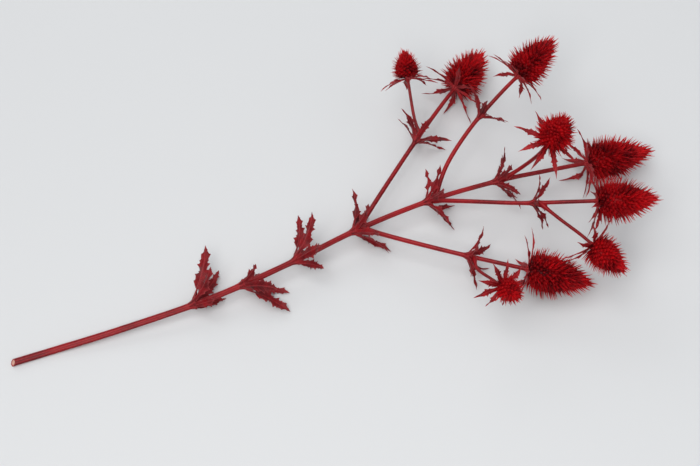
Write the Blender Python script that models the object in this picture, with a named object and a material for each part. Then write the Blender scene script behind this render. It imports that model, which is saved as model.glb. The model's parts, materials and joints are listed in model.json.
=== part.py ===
"""A cut sea holly stem, dyed red, lying on a surface.

A ribbed stem carries side branches from its joints. Every joint wears a whorl of narrow
toothed leaf lobes, the lower stem has three broad lobed leaves, and every branch ends in
a spiny cone that sits in a ruff of narrow bracts. Leaves and bracts that meet the surface
are pressed flat on it.

Blender units are metres and +Z is up. The stem runs along +X, from its cut end to its top,
and the origin lies under the middle of the whole stem, on the surface.
"""

import math
import random
from collections import namedtuple

import bmesh
import bpy
from mathutils import Matrix, Vector

UP = Vector((0, 0, 1))
CLEARANCE = 0.0003
BLADE_THICKNESS = 0.0007
BLADE_LOWEST = 0.0004
RIB_LOWEST = 0.0008
LEVELLING_HEIGHT = 0.007

# The middle of the stem's box, measured from the cut end: what is built from there is moved by it.
FROM_CUT_END_TO_MIDDLE = Vector((0.2995, 0.0031, 0.0))

STEM_RIBS = 8
BRANCH_RIBS = 5
RIB_RELIEF = 0.05
RING_SPACING = 0.020
JOINT_SWELLING = 0.0005
JOINT_HALF_LENGTH = 0.006
CUT_SLANT = 0.7
FLAT_SPOT = (0.003, 0.034)

SPINE_BASE_RADIUS = 0.0009
SPINE_ROOM = 0.42
SPINE_LIFT = (-2, 84)
SPINE_RISE = 1.35
SPINE_SHORTER_AT_TOP = 0.18
SPINE_SCATTER = 4
LOWEST_CORE_SHARE = 0.02

# A shoot starts on its parent at a share of the parent's length and runs through the points
# (measured from the cut end, on the surface).
Shoot = namedtuple("Shoot", "name parent at points radii cone")
Cone = namedtuple("Cone", "name length radius columns bands spine ruff_length")
# A whorl sits at a share of its shoot. Its lobes are the sides of its ring that carry a blade.
Whorl = namedtuple("Whorl", "name shoot at sides lobes length half_width teeth lift turn levelled")

STEM_POINTS = [
    (0.000, 0.000, 0.00235),
    (0.035, -0.0015, 0.00235),
    (0.095, -0.006, 0.0065),
    (0.175, -0.009, 0.012),
    (0.250, -0.004, 0.016),
    (0.320, 0.005, 0.018),
    (0.390, 0.008, 0.020),
    (0.455, 0.003, 0.0225),
    (0.500, -0.004, 0.0235),
    (0.538, -0.010, 0.0235),
]
SHOOTS = [
    Shoot("main_stem", None, 0, STEM_POINTS, (0.0031, 0.0019),
          Cone("cone_head_1", 0.056, 0.0125, 10, 6, 0.0117, 0.034)),
    Shoot("side_branch_1", "main_stem", 0.594,
          [(0.352, 0.031, 0.0195), (0.402, 0.070, 0.0218), (0.440, 0.098, 0.0226), (0.462, 0.113, 0.0228)],
          (0.0021, 0.0018), Cone("cone_head_2", 0.044, 0.0122, 10, 6, 0.0115, 0.032)),
    Shoot("side_branch_2", "main_stem", 0.600,
          [(0.347, -0.018, 0.0215), (0.386, -0.050, 0.0225), (0.421, -0.077, 0.0232), (0.441, -0.092, 0.0233)],
          (0.0021, 0.0018), Cone("cone_head_3", 0.051, 0.0125, 10, 6, 0.0117, 0.033)),
    Shoot("side_branch_3", "main_stem", 0.727,
          [(0.420, -0.014, 0.033), (0.457, -0.040, 0.046), (0.493, -0.060, 0.056), (0.514, -0.071, 0.061)],
          (0.0020, 0.0017), Cone("cone_head_4", 0.046, 0.0118, 10, 6, 0.0115, 0.031)),
    Shoot("side_branch_4", "main_stem", 0.733,
          [(0.416, 0.029, 0.036), (0.448, 0.049, 0.051), (0.482, 0.064, 0.064), (0.503, 0.072, 0.071)],
          (0.0020, 0.0017), Cone("cone_head_5", 0.042, 0.0115, 10, 6, 0.0112, 0.031)),
    Shoot("side_branch_5", "main_stem", 0.853,
          [(0.478, 0.000, 0.038), (0.488, -0.006, 0.060), (0.493, -0.011, 0.083)],
          (0.0018, 0.0016), Cone("cone_head_6", 0.036, 0.0102, 9, 5, 0.0102, 0.028)),
    Shoot("side_branch_6", "side_branch_3", 0.66,
          [(0.478, -0.069, 0.0505), (0.488, -0.090, 0.0500), (0.494, -0.104, 0.0490)],
          (0.0016, 0.0014), Cone("cone_head_7", 0.032, 0.0097, 9, 5, 0.0098, 0.026)),
    Shoot("bud_branch_1", "side_branch_1", 0.64,
          [(0.410, 0.090, 0.031), (0.413, 0.107, 0.042), (0.416, 0.121, 0.051)],
          (0.0015, 0.0013), Cone("cone_head_8", 0.022, 0.0078, 8, 3, 0.0080, 0.024)),
    Shoot("bud_branch_2", "side_branch_2", 0.68,
          [(0.397, -0.079, 0.032), (0.401, -0.097, 0.041), (0.405, -0.110, 0.047)],
          (0.0015, 0.0013), Cone("cone_head_9", 0.020, 0.0074, 8, 3, 0.0078, 0.023)),
]
LEAF_LIFT = (36, 2)
WHORLS = [
    Whorl("leaf_whorl_1", "main_stem", 0.589, 7, range(7), 0.036, 0.0035, 2, LEAF_LIFT, 0.0, 0.45),
    Whorl("leaf_whorl_2", "main_stem", 0.722, 7, range(7), 0.032, 0.0032, 2, LEAF_LIFT, 0.4, 0.45),
    Whorl("leaf_whorl_3", "main_stem", 0.843, 7, range(7), 0.028, 0.0029, 2, LEAF_LIFT, 0.2, 0.45),
    Whorl("leaf_whorl_4", "side_branch_1", 0.61, 6, range(6), 0.028, 0.0028, 1, LEAF_LIFT, 0.3, 0.45),
    Whorl("leaf_whorl_5", "side_branch_2", 0.65, 6, range(6), 0.028, 0.0028, 1, LEAF_LIFT, 0.1, 0.45),
    Whorl("leaf_whorl_6", "side_branch_3", 0.63, 6, range(6), 0.026, 0.0027, 1, LEAF_LIFT, 0.5, 0.45),
    Whorl("leaf_whorl_7", "side_branch_4", 0.64, 6, range(6), 0.026, 0.0027, 1, LEAF_LIFT, 0.2, 0.45),
    # The broad leaves of the lower stem: a sheathing ring with five lobes, the middle one the longest.
    Whorl("stem_leaf_1", "main_stem", 0.300, 7, (6, 0, 1, 2, 3), 0.052, 0.0060, 3, (52, 14), 4.2, 0.7),
    Whorl("stem_leaf_2", "main_stem", 0.385, 7, (6, 0, 1, 2, 3), 0.050, 0.0054, 3, (50, 12), 0.9, 0.7),
    Whorl("stem_leaf_3", "main_stem", 0.480, 7, (6, 0, 1, 2, 3), 0.046, 0.0053, 3, (50, 12), 4.9, 0.7),
]
LOBE_SHARES_FROM_MIDDLE = (1, 0.76, 0.52)
RUFF_LOBES = 8
RUFF_HALF_WIDTH = 0.0026
RUFF_LIFT = (2, -22)
RUFF_LEVELLED = 0.25
RUFF_BELOW_CONE = 0.0010
RING_WIDTH = 0.0016
RIB_FOLD = 0.30
TOOTH_REACH = 1.55
TOOTH_FORWARD = 0.05
BETWEEN_TEETH = 0.78
TOOTH_PLACES = {1: (0.46, 0.46), 2: (0.34, 0.74), 3: (0.42, 0.80)}

Material = namedtuple("Material", "colour roughness")
MATERIALS = {
    "dyed_stem": Material((0.260, 0.016, 0.018), 0.42),
    "dyed_leaf": Material((0.230, 0.012, 0.016), 0.55),
    "dyed_bract": Material((0.300, 0.018, 0.024), 0.50),
    "dyed_cone": Material((0.330, 0.010, 0.014), 0.60),
}


def vary(*name):
    """A repeatable number from -1 to 1 for the thing that the words name."""
    return random.Random(" ".join(str(word) for word in name)).uniform(-1, 1)


def mix(first, last, share):
    return first + (last - first) * share


def smooth(share):
    """0 to 1 with soft ends."""
    share = min(max(share, 0), 1)
    return share * share * (3 - 2 * share)


class Path:
    """A smooth curve through points, read by the share of its length."""

    STEPS = 24

    def __init__(self, points):
        points = [Vector(p) for p in points]
        ends = [2 * points[0] - points[1], *points, 2 * points[-1] - points[-2]]
        self.points = [points[0]]
        for a, b, c, d in zip(ends, ends[1:], ends[2:], ends[3:]):
            for step in range(1, self.STEPS + 1):
                t = step / self.STEPS
                self.points.append(
                    (2 * b + (c - a) * t + (2 * a - 5 * b + 4 * c - d) * t**2
                     + (3 * b - a - 3 * c + d) * t**3) / 2
                )
        self.reached = [0.0]
        for p, q in zip(self.points, self.points[1:]):
            self.reached.append(self.reached[-1] + (q - p).length)
        self.length = self.reached[-1]

    def point(self, share):
        goal = min(max(share, 0), 1) * self.length
        i = next(k for k in range(1, len(self.reached)) if self.reached[k] >= goal - 1e-12)
        start, end = self.reached[i - 1], self.reached[i]
        return self.points[i - 1].lerp(self.points[i], (goal - start) / (end - start))

    def frame(self, share):
        """The matrix at a point of the path: its z axis runs along the path and its x axis points up."""
        step = 0.004 / self.length
        along = (self.point(share + step) - self.point(share - step)).normalized()
        up = (UP - along * UP.dot(along)).normalized()
        side = along.cross(up)
        placed = Matrix((up, side, along)).transposed().to_4x4()
        placed.translation = self.point(share)
        return placed


def make_material(name):
    wanted = MATERIALS[name]
    made = bpy.data.materials.new(name)
    made.use_nodes = True
    shader = made.node_tree.nodes["Principled BSDF"]
    shader.inputs["Base Color"].default_value = (*wanted.colour, 1)
    shader.inputs["Roughness"].default_value = wanted.roughness
    shader.inputs["Metallic"].default_value = 0
    return made


def make_object(name, mesh_source, placed, material):
    """An object of its own from a bmesh, with its mesh in the placement's own frame."""
    bmesh.ops.recalc_face_normals(mesh_source, faces=mesh_source.faces)
    mesh = bpy.data.meshes.new(name)
    mesh_source.to_mesh(mesh)
    mesh_source.free()
    mesh.materials.append(bpy.data.materials[material])
    made = bpy.data.objects.new(name, mesh)
    made.matrix_world = placed
    bpy.context.scene.collection.objects.link(made)
    return made


def shoot_radius(shoot, path, joints, share):
    """The radius of a shoot: an even taper, thicker at each joint."""
    swelling = sum(
        math.exp(-(((share - joint) * path.length / JOINT_HALF_LENGTH) ** 2)) for joint in joints
    )
    return mix(*shoot.radii, share) + JOINT_SWELLING * min(swelling, 1)


def ring_shares(path, joints, count):
    """Even shares along a shoot, with three closer ones at each joint."""
    shares = [i / count for i in range(count + 1)]
    near = JOINT_HALF_LENGTH / path.length
    for joint in joints:
        shares = [s for s in shares if abs(s - joint) > 1.6 * near or s in (0, 1)]
        shares += [joint - near, joint, joint + near]
    return sorted(shares)


def ribbed_tube(name, path, shares, radius_at, ribs, placed, slant=0.0, lowest=-1.0):
    """A closed tube round a path, with a ridge and a groove for each rib, flat below where it lies."""
    form = bmesh.new()
    sides = 2 * ribs
    rings = []
    for share in shares:
        frame = path.frame(share)
        ring = []
        for k in range(sides):
            angle = 2 * math.pi * (k + 0.5) / sides
            radius = radius_at(share) * (1 + RIB_RELIEF * (-1) ** k)
            x, y = radius * math.cos(angle), radius * math.sin(angle)
            spot = frame @ Vector((x, y, slant * x if share == 0 else 0))
            spot.z = max(spot.z, lowest)
            ring.append(form.verts.new(spot))
        rings.append(ring)
    for low, high in zip(rings, rings[1:]):
        for k in range(sides):
            form.faces.new((low[k], low[(k + 1) % sides], high[(k + 1) % sides], high[k]))
    form.faces.new(rings[0][::-1])
    form.faces.new(rings[-1])
    made = make_object(name, form, placed, "dyed_stem")
    made.data.shade_smooth()
    made.data.set_sharp_from_angle(angle=math.radians(40))
    return made


def cut_by(shoot_object, parent_object):
    """Takes a slightly larger copy of the parent shoot out of a shoot that starts on it."""
    cut = shoot_object.modifiers.new("seat_on_parent", "BOOLEAN")
    cut.operation = "DIFFERENCE"
    cut.solver = "EXACT"
    cut.object = parent_object


def lobe_rows(teeth):
    """Share of the length, share of the half width and the lean of the edge, for each row of a blade."""
    first, last = TOOTH_PLACES[teeth]
    rows = []
    for k in range(teeth):
        at = mix(first, last, k / max(teeth - 1, 1))
        rows.append((at, TOOTH_REACH, TOOTH_FORWARD))
        rows.append((at + 0.10, BETWEEN_TEETH, 0.0))
    return rows


def blade_width(share):
    """Half width of a blade against its widest: quick to widen, then a long taper to the point."""
    return math.sin(math.pi * share**0.62) ** 0.8 if share < 1 else 0.0


class Lobe:
    """One narrow blade that grows out of a ring.

    Its rib follows a bow away from the shoot, keeps its length where the surface makes it level
    out, and the blade turns its face up part of the way, as on a stem that has lain for a while.
    """

    STEPS = 20

    def __init__(self, name, index, azimuth, seat, start, length, half_width, lift, levelled):
        azimuth += math.radians(5) * vary(name, index, "turn")
        self.half_width = half_width * (1 + 0.10 * vary(name, index, "width"))
        length *= 1 + 0.14 * vary(name, index, "length")
        lift = [math.radians(angle + 10 * vary(name, index, "lift", n)) for n, angle in enumerate(lift)]
        levelled += 0.15 * vary(name, index, "levelled")
        bow = 0.2 * vary(name, index, "bow")
        turned = seat.to_3x3()
        radial = turned @ Vector((math.cos(azimuth), math.sin(azimuth), 0))
        axial = turned @ UP
        tangent = axial.cross(radial)
        spot = seat.translation + radial * start
        self.rib = []
        upward = None
        for n in range(self.STEPS + 1):
            share = n / self.STEPS
            angle = mix(*lift, share)
            heading = radial * math.cos(angle) + axial * math.sin(angle) + tangent * bow * share
            heading.normalize()
            if upward is None:
                upward = math.copysign(1, heading.cross(tangent).z)
            clear = smooth((spot.z - RIB_LOWEST) / LEVELLING_HEIGHT)
            if heading.z < 0:
                level = heading + axial * math.copysign(0.2, sum(lift))
                level = Vector((level.x, level.y, 0)).normalized()
                fall = -heading.z * clear
                heading = level * math.sqrt(1 - fall**2) - UP * fall
            side = (tangent - heading * tangent.dot(heading)).normalized()
            face = heading.cross(side)
            to_level = math.asin(min(max(-side.z * upward, -1), 1))
            turn = to_level * smooth(share / 0.45) * mix(1, levelled, clear)
            across = side * math.cos(turn) + face * math.sin(turn)
            self.rib.append((spot.copy(), across, heading.cross(across)))
            spot = spot + heading * (length / self.STEPS)

    def point(self, share, across):
        """The point at a share of the blade's length, that far to one side of its rib."""
        place = min(max(share, 0), 1) * self.STEPS
        n = min(int(place), self.STEPS - 1)
        low, high = self.rib[n], self.rib[n + 1]
        spot, sideways, face = (a.lerp(b, place - n) for a, b in zip(low, high))
        spot = spot + sideways * across + face * RIB_FOLD * abs(across)
        spot.z = max(spot.z, BLADE_LOWEST)
        return spot


def blade_star(name, seat, shoot_radius_here, sides, present, material, make_lobe, teeth):
    """A ring round a shoot with blades growing out of some of its sides: one thin sheet, thickened."""
    form = bmesh.new()
    back = seat.inverted()
    inner = (shoot_radius_here * (1 + RIB_RELIEF) + CLEARANCE) / math.cos(math.pi / sides)

    def ring(radius):
        angles = [2 * math.pi * (k + 0.5) / sides for k in range(sides)]
        return [form.verts.new((radius * math.cos(a), radius * math.sin(a), 0)) for a in angles]

    inside, outside = ring(inner), ring(inner + RING_WIDTH)
    for k in range(sides):
        form.faces.new((inside[k - 1], inside[k], outside[k], outside[k - 1]))
        if k not in present:
            continue
        lobe = make_lobe(k, 2 * math.pi * k / sides, (inner + RING_WIDTH) * math.cos(math.pi / sides))
        row = [outside[k - 1], outside[k]]
        for share, reach, forward in lobe_rows(teeth):
            half = lobe.half_width * blade_width(share) * reach
            spots = (lobe.point(share + forward, -half), lobe.point(share, 0), lobe.point(share + forward, half))
            new_row = [form.verts.new(back @ spot) for spot in spots]
            if len(row) == 2:
                form.faces.new((row[0], new_row[1], new_row[0]))
                form.faces.new((row[0], row[1], new_row[1]))
                form.faces.new((row[1], new_row[2], new_row[1]))
            else:
                form.faces.new((row[0], row[1], new_row[1], new_row[0]))
                form.faces.new((row[1], row[2], new_row[2], new_row[1]))
            row = new_row
        tip = form.verts.new(back @ lobe.point(1, 0))
        form.faces.new((row[0], row[1], tip))
        form.faces.new((row[1], row[2], tip))
    bmesh.ops.triangulate(form, faces=form.faces)
    made = make_object(name, form, seat, material)
    made.data.shade_smooth()
    thicken = made.modifiers.new("thickness", "SOLIDIFY")
    thicken.thickness = BLADE_THICKNESS
    thicken.offset = 0
    return made


def core_radius(cone, share):
    """Radius of a cone's core at a share of its height: widest low down, with a long taper above."""
    lifted = LOWEST_CORE_SHARE + (1 - LOWEST_CORE_SHARE) * share
    return cone.radius * max(math.sin(math.pi * lifted**0.56), 0) ** 0.65


def spine_tip(cone, root, key):
    """The tip of the spine that stands on a point of the core: the higher it stands, the more it points up."""
    share = root.z / cone.length
    lift = mix(*SPINE_LIFT, share**SPINE_RISE) + SPINE_SCATTER * vary(cone.name, key, "lift")
    azimuth = math.atan2(root.y, root.x) + math.radians(SPINE_SCATTER) * vary(cone.name, key, "azimuth")
    length = cone.spine * (1 - SPINE_SHORTER_AT_TOP * share) * (1 + 0.10 * vary(cone.name, key, "length"))
    out, up = length * math.cos(math.radians(lift)), length * math.sin(math.radians(lift))
    return root + Vector((out * math.cos(azimuth), out * math.sin(azimuth), up))


def cone_head(cone, placed):
    """An egg-shaped core of triangles with a three-sided spine standing on each."""
    form = bmesh.new()
    rows = []
    for j in range(cone.bands + 1):
        share = j / (cone.bands + 0.6)
        radius = core_radius(cone, share)
        angles = [2 * math.pi * (k + j / 2) / cone.columns for k in range(cone.columns)]
        rows.append([
            form.verts.new((radius * math.cos(a), radius * math.sin(a), share * cone.length)) for a in angles
        ])
    top = form.verts.new((0, 0, cone.length))
    facets = []
    for low, high in zip(rows, rows[1:]):
        for k in range(cone.columns):
            after = (k + 1) % cone.columns
            facets.append((low[k], low[after], high[k]))
            facets.append((low[after], high[after], high[k]))
    facets += [(rows[-1][k], rows[-1][(k + 1) % cone.columns], top) for k in range(cone.columns)]
    form.faces.new(rows[0][::-1])
    for key, corners in enumerate(facets):
        centre = sum((v.co for v in corners), Vector()) / 3
        nearest = min((v.co - centre).length for v in corners)
        base = min(SPINE_BASE_RADIUS, SPINE_ROOM * nearest)
        roots = [
            form.verts.new(centre + (v.co - centre).normalized() * base) for v in corners
        ]
        tip = form.verts.new(spine_tip(cone, centre, key))
        for n in range(3):
            m = (n + 1) % 3
            form.faces.new((corners[n], corners[m], roots[m], roots[n]))
            form.faces.new((roots[n], roots[m], tip))
    return make_object(cone.name, form, placed, "dyed_cone")


def clear_scene():
    for old in list(bpy.data.objects):
        bpy.data.objects.remove(old)


def build_shoot(shoot, path, joints, cutters, to_middle):
    """A shoot, cut to sit on its parent, with the cone and the ruff at its end."""
    is_stem = shoot.parent is None
    ribs = STEM_RIBS if is_stem else BRANCH_RIBS
    shares = ring_shares(path, joints, max(5, round(path.length / RING_SPACING)))
    shape = {}
    if is_stem:
        shares = sorted([*shares, *(s / path.length for s in FLAT_SPOT)])
        shape = {"slant": CUT_SLANT, "lowest": 0.0}

    def radius_at(share, extra=0.0):
        return shoot_radius(shoot, path, joints, share) + extra

    made = ribbed_tube(shoot.name, path, shares, radius_at, ribs, to_middle, **shape)
    if any(other.parent == shoot.name for other in SHOOTS):
        fatter = ribbed_tube(
            f"seat_cutter_{shoot.name}", path, shares, lambda s: radius_at(s, CLEARANCE), ribs, to_middle
        )
        fatter.hide_render = True
        fatter.display_type = "WIRE"
        cutters[shoot.name] = fatter
    if shoot.parent:
        cut_by(made, cutters[shoot.parent])
    end = to_middle @ path.frame(1)
    cone_head(shoot.cone, end @ Matrix.Translation((0, 0, CLEARANCE)))
    ruff = shoot.cone.name.replace("cone_head", "bract_ruff")
    seat = end @ Matrix.Translation((0, 0, -RUFF_BELOW_CONE))

    def bract(index, azimuth, start):
        return Lobe(
            ruff, index, azimuth, seat, start, shoot.cone.ruff_length, RUFF_HALF_WIDTH, RUFF_LIFT, RUFF_LEVELLED
        )

    blade_star(ruff, seat, radius_at(1), RUFF_LOBES, range(RUFF_LOBES), "dyed_bract", bract, 1)


def build_whorl(whorl, radius, seat):
    """A whorl of lobes round a joint, or a broad leaf with its outer lobes shorter."""
    is_leaf = len(whorl.lobes) < whorl.sides

    def leaf_lobe(index, azimuth, start):
        from_middle = abs(whorl.lobes.index(index) - len(whorl.lobes) // 2) if is_leaf else 0
        size = LOBE_SHARES_FROM_MIDDLE[from_middle]
        half_width = whorl.half_width * size**0.7
        return Lobe(
            whorl.name, index, azimuth, seat, start, whorl.length * size, half_width, whorl.lift, whorl.levelled
        )

    blade_star(whorl.name, seat, radius, whorl.sides, whorl.lobes, "dyed_leaf", leaf_lobe, whorl.teeth)


def build():
    clear_scene()
    for name in MATERIALS:
        make_material(name)
    to_middle = Matrix.Translation(-FROM_CUT_END_TO_MIDDLE)
    paths, cutters = {}, {}
    for shoot in SHOOTS:
        start = [paths[shoot.parent].point(shoot.at)] if shoot.parent else []
        paths[shoot.name] = Path([*start, *shoot.points])
        joints = [whorl.at for whorl in WHORLS if whorl.shoot == shoot.name]
        build_shoot(shoot, paths[shoot.name], joints, cutters, to_middle)
        for whorl in (w for w in WHORLS if w.shoot == shoot.name):
            radius = shoot_radius(shoot, paths[shoot.name], joints, whorl.at)
            seat = to_middle @ paths[shoot.name].frame(whorl.at) @ Matrix.Rotation(whorl.turn, 4, "Z")
            build_whorl(whorl, radius, seat)


build()
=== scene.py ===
import json
import math
import random
from collections import namedtuple

import bpy
import numpy as np
from mathutils import Matrix, Vector

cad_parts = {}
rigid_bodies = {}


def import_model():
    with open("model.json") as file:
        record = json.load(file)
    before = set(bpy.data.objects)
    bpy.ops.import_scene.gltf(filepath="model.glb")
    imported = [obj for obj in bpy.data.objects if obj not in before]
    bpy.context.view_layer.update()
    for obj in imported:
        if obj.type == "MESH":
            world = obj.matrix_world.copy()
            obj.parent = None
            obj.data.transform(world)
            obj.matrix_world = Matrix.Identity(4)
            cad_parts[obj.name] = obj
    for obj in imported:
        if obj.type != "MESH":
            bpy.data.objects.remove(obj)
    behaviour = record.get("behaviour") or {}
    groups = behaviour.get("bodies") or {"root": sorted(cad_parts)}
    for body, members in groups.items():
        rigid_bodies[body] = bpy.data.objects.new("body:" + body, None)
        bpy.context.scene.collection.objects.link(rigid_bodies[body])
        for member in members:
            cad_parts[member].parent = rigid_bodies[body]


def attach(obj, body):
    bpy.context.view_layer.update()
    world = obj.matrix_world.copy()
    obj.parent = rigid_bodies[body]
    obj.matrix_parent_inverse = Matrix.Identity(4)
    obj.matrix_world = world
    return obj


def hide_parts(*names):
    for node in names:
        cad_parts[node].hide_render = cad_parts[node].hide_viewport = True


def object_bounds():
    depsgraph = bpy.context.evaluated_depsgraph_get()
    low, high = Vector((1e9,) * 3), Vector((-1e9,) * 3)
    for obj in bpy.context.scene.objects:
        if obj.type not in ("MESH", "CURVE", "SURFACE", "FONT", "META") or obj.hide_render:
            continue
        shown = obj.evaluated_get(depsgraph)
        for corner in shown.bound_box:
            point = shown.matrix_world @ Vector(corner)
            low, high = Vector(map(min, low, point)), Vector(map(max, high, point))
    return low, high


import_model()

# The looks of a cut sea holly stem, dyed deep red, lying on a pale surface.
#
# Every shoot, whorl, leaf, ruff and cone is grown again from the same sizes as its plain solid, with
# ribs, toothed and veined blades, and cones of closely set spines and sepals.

PLAIN_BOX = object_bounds()

UP = Vector((0, 0, 1))
RIB_LOWEST = 0.0008
LEVELLING_HEIGHT = 0.007
TISSUE_LOWEST = 0.00025

# The middle of the stem's box, measured from the cut end.
FROM_CUT_END_TO_MIDDLE = Vector((0.2995, 0.0031, 0.0))
TO_MIDDLE = Matrix.Translation(-FROM_CUT_END_TO_MIDDLE)

STEM_RIBS = 8
BRANCH_RIBS = 5
RIB_RELIEF = 0.05
JOINT_SWELLING = 0.0005
JOINT_HALF_LENGTH = 0.006
CUT_SLANT = 0.7
RING_SPACING = 0.0018
FOOT_FLARE = 0.0011
FOOT_FLARE_LENGTH = 0.0055
STEM_LOWEST = 0.00002
SHEATH_CLEARANCE = 0.0003
SHEATH_RIM_WIDTH = 0.0016
SHEATH_LENGTH = 0.0062
# The rim's radius on a sheath of that length: a wider rim has a longer sheath.
SHEATH_RIM = 0.0055
# Heights along the shoot, in sheath lengths, and the way out from its skin to the rim.
SHEATH_PROFILE = [
    (-1.0, -0.10), (-0.85, 0.04), (-0.55, 0.20), (-0.28, 0.45), (-0.10, 0.85), (-0.02, 1.0),
    (0.07, 1.02), (0.14, 0.86), (0.15, 0.50), (0.09, 0.12), (0.03, -0.20),
]
RUFF_BELOW_CONE = 0.0010

SPINE_LIFT = (-2, 84)
SPINE_RISE = 1.35
SPINE_SHORTER_AT_TOP = 0.18
LOWEST_CORE_SHARE = 0.02
GOLDEN_ANGLE = math.pi * (3 - math.sqrt(5))
LARGE_HEAD_RADIUS = 0.0125
FLORET_SPACING = 0.0033
SEPALS = 5
SPINE_HALF_WIDTH = 0.00080
# Girths at shares of the length, to the tip.
SPINE_PROFILE = [(0, 0.9), (0.12, 1), (0.35, 0.82), (0.62, 0.58), (0.86, 0.29), (1, 0)]
CUP_PROFILE = [(0, 0.7), (0.3, 1), (0.65, 0.86), (0.9, 0.45), (1, 0)]
SEPAL_PROFILE = [(0, 1), (0.45, 0.75), (1, 0)]

Shoot = namedtuple("Shoot", "name parent at points radii cone")
Cone = namedtuple("Cone", "name length radius spine ruff_length")
Whorl = namedtuple("Whorl", "name shoot at sides lobes length half_width teeth lift turn levelled")

STEM_POINTS = [
    (0.000, 0.000, 0.00235),
    (0.035, -0.0015, 0.00235),
    (0.095, -0.006, 0.0065),
    (0.175, -0.009, 0.012),
    (0.250, -0.004, 0.016),
    (0.320, 0.005, 0.018),
    (0.390, 0.008, 0.020),
    (0.455, 0.003, 0.0225),
    (0.500, -0.004, 0.0235),
    (0.538, -0.010, 0.0235),
]
SHOOTS = [
    Shoot("main_stem", None, 0, STEM_POINTS,
          (0.0031, 0.0019), Cone("cone_head_1", 0.056, 0.0125, 0.0117, 0.034)),
    Shoot("side_branch_1", "main_stem", 0.594,
          [(0.352, 0.031, 0.0195), (0.402, 0.070, 0.0218), (0.440, 0.098, 0.0226), (0.462, 0.113, 0.0228)],
          (0.0021, 0.0018), Cone("cone_head_2", 0.044, 0.0122, 0.0115, 0.032)),
    Shoot("side_branch_2", "main_stem", 0.600,
          [(0.347, -0.018, 0.0215), (0.386, -0.05, 0.0225), (0.421, -0.077, 0.0232), (0.441, -0.092, 0.0233)],
          (0.0021, 0.0018), Cone("cone_head_3", 0.051, 0.0125, 0.0117, 0.033)),
    Shoot("side_branch_3", "main_stem", 0.727,
          [(0.420, -0.014, 0.033), (0.457, -0.040, 0.046), (0.493, -0.060, 0.056), (0.514, -0.071, 0.061)],
          (0.0020, 0.0017), Cone("cone_head_4", 0.046, 0.0118, 0.0115, 0.031)),
    Shoot("side_branch_4", "main_stem", 0.733,
          [(0.416, 0.029, 0.036), (0.448, 0.049, 0.051), (0.482, 0.064, 0.064), (0.503, 0.072, 0.071)],
          (0.0020, 0.0017), Cone("cone_head_5", 0.042, 0.0115, 0.0112, 0.031)),
    Shoot("side_branch_5", "main_stem", 0.853,
          [(0.478, 0.000, 0.038), (0.488, -0.006, 0.060), (0.493, -0.011, 0.083)],
          (0.0018, 0.0016), Cone("cone_head_6", 0.036, 0.0102, 0.0102, 0.028)),
    Shoot("side_branch_6", "side_branch_3", 0.66,
          [(0.478, -0.069, 0.0505), (0.488, -0.090, 0.0500), (0.494, -0.104, 0.0490)],
          (0.0016, 0.0014), Cone("cone_head_7", 0.032, 0.0097, 0.0098, 0.026)),
    Shoot("bud_branch_1", "side_branch_1", 0.64,
          [(0.410, 0.090, 0.031), (0.413, 0.107, 0.042), (0.416, 0.121, 0.051)],
          (0.0015, 0.0013), Cone("cone_head_8", 0.022, 0.0078, 0.0080, 0.024)),
    Shoot("bud_branch_2", "side_branch_2", 0.68,
          [(0.397, -0.079, 0.032), (0.401, -0.097, 0.041), (0.405, -0.110, 0.047)],
          (0.0015, 0.0013), Cone("cone_head_9", 0.020, 0.0074, 0.0078, 0.023)),
]
LEAF_LIFT = (36, 2)
WHORLS = [
    Whorl("leaf_whorl_1", "main_stem", 0.589, 7, range(7), 0.036, 0.0035, 2, LEAF_LIFT, 0.0, 0.45),
    Whorl("leaf_whorl_2", "main_stem", 0.722, 7, range(7), 0.032, 0.0032, 2, LEAF_LIFT, 0.4, 0.45),
    Whorl("leaf_whorl_3", "main_stem", 0.843, 7, range(7), 0.028, 0.0029, 2, LEAF_LIFT, 0.2, 0.45),
    Whorl("leaf_whorl_4", "side_branch_1", 0.61, 6, range(6), 0.028, 0.0028, 1, LEAF_LIFT, 0.3, 0.45),
    Whorl("leaf_whorl_5", "side_branch_2", 0.65, 6, range(6), 0.028, 0.0028, 1, LEAF_LIFT, 0.1, 0.45),
    Whorl("leaf_whorl_6", "side_branch_3", 0.63, 6, range(6), 0.026, 0.0027, 1, LEAF_LIFT, 0.5, 0.45),
    Whorl("leaf_whorl_7", "side_branch_4", 0.64, 6, range(6), 0.026, 0.0027, 1, LEAF_LIFT, 0.2, 0.45),
    Whorl("stem_leaf_1", "main_stem", 0.300, 7, (6, 0, 1, 2, 3), 0.052, 0.0060, 3, (52, 14), 4.2, 0.7),
    Whorl("stem_leaf_2", "main_stem", 0.385, 7, (6, 0, 1, 2, 3), 0.050, 0.0054, 3, (50, 12), 0.9, 0.7),
    Whorl("stem_leaf_3", "main_stem", 0.480, 7, (6, 0, 1, 2, 3), 0.046, 0.0053, 3, (50, 12), 4.9, 0.7),
]
LOBE_SHARES_FROM_MIDDLE = (1, 0.76, 0.52)
RUFF_LOBES = 8
RUFF_HALF_WIDTH = 0.0026
RUFF_LIFT = (2, -22)
RUFF_LEVELLED = 0.25
LEAF_THICKNESS = 0.0006
LEAF_WAVE = 0.30
BRACT_THICKNESS = 0.00055
BRACT_WAVE = 0.22
RIB_FOLD = 0.30
TOOTH_REACH = 1.55
MINOR_TOOTH_REACH = 1.16
TOOTH_PLACES = {1: (0.46, 0.46), 2: (0.34, 0.74), 3: (0.42, 0.80)}

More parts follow.
